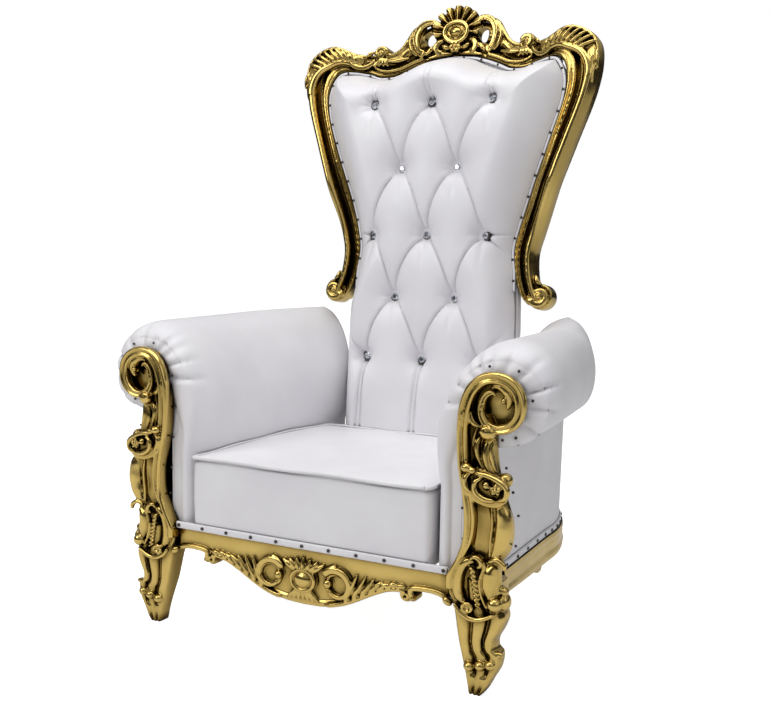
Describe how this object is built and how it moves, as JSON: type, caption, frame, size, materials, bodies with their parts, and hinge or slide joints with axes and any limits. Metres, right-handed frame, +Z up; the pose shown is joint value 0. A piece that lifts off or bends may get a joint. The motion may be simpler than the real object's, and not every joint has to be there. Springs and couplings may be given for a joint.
{
  "type": "throne",
  "caption": "Carved and gilded throne chair with a tall buttoned back, rolled arms, scroll posts and a shaped front apron.",
  "frame": {"origin": "bottom centre of the throne's box, on the floor", "axes": "+Z up, the sitter faces -Y, +X to the sitter's left"},
  "size_m": [1.2254, 0.969, 1.7552],
  "materials": {
    "gilded_wood": "metallic gold leaf with darker hollows, glossy",
    "white_leatherette": "soft satin white leatherette",
    "crystal": "faceted crystal button in a dark silver rim"
  },
  "bodies": {
    "root": {"back_frame": "gilded_wood", "back_shell": "white_leatherette", "back_pad": "white_leatherette", "tuft_button_01": "crystal", "tuft_button_02": "crystal", "tuft_button_03": "crystal", "tuft_button_04": "crystal", "tuft_button_05": "crystal", "tuft_button_06": "crystal", "tuft_button_07": "crystal", "tuft_button_08": "crystal", "tuft_button_09": "crystal", "tuft_button_10": "crystal", "tuft_button_11": "crystal", "tuft_button_12": "crystal", "tuft_button_13": "crystal", "front_post_right": "gilded_wood", "front_post_left": "gilded_wood", "arm_right": "white_leatherette", "arm_left": "white_leatherette", "side_rail_right": "gilded_wood", "side_rail_left": "gilded_wood", "side_welt_right": "white_leatherette", "side_welt_left": "white_leatherette", "rear_leg_right": "gilded_wood", "rear_leg_left": "gilded_wood", "front_apron": "gilded_wood", "back_rail": "gilded_wood", "seat_cushion": "white_leatherette", "front_welt": "white_leatherette"}
  },
  "joints": []
}
